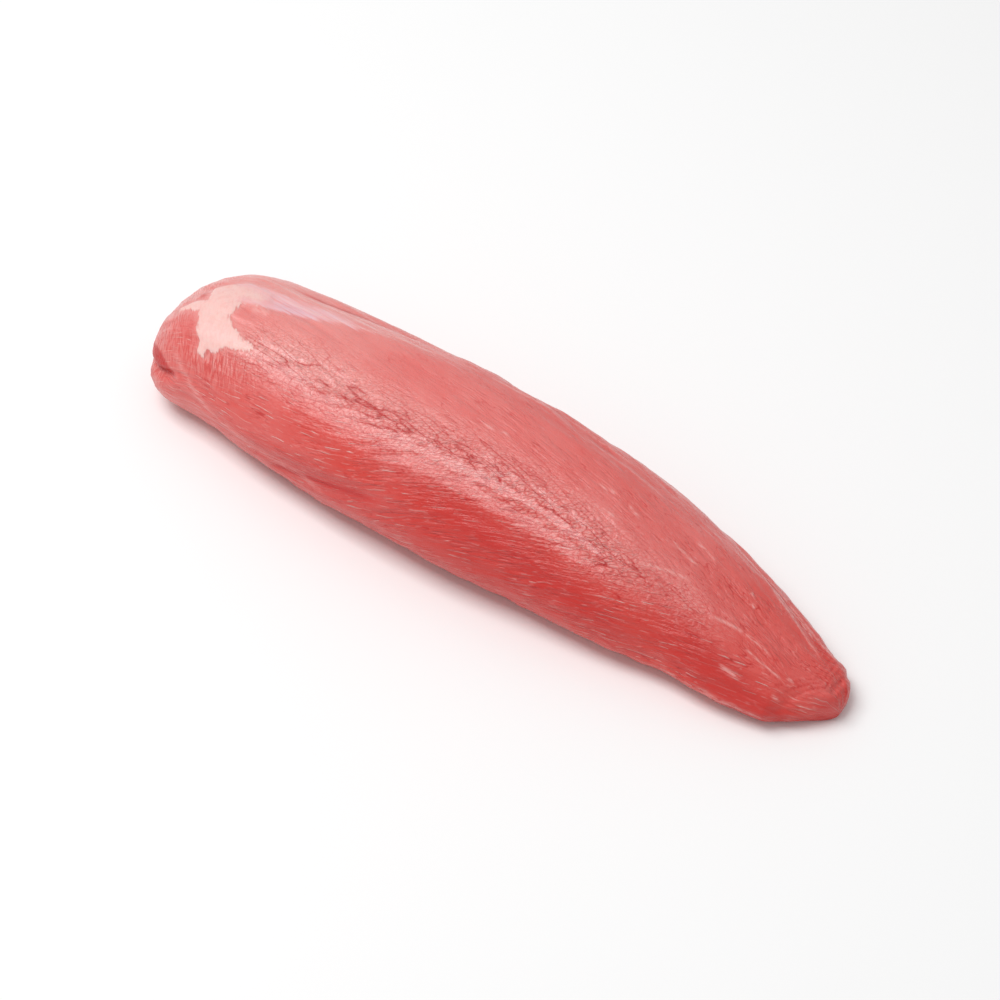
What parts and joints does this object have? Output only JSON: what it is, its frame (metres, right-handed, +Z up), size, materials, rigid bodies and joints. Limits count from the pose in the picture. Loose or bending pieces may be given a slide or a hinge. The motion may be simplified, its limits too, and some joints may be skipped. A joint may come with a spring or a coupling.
{
  "type": "raw pork tenderloin",
  "caption": "Whole raw pork tenderloin: a long boneless muscle with a thick rounded head, a full belly and a flattened tapering tail, lying on its flat underside.",
  "frame": {"origin": "on the table, under the middle of the tenderloin's bounding box", "axes": "+X along the meat from the thick head to the tail, +Y across it towards the far flank, +Z up"},
  "size_m": [0.28, 0.0718, 0.0458],
  "materials": {
    "raw_pork": "moist raw meat, pink-red, with a soft gloss, a pale fat patch and a strip of silverskin at the head"
  },
  "bodies": {
    "root": {"tenderloin": "raw_pork"}
  },
  "joints": []
}
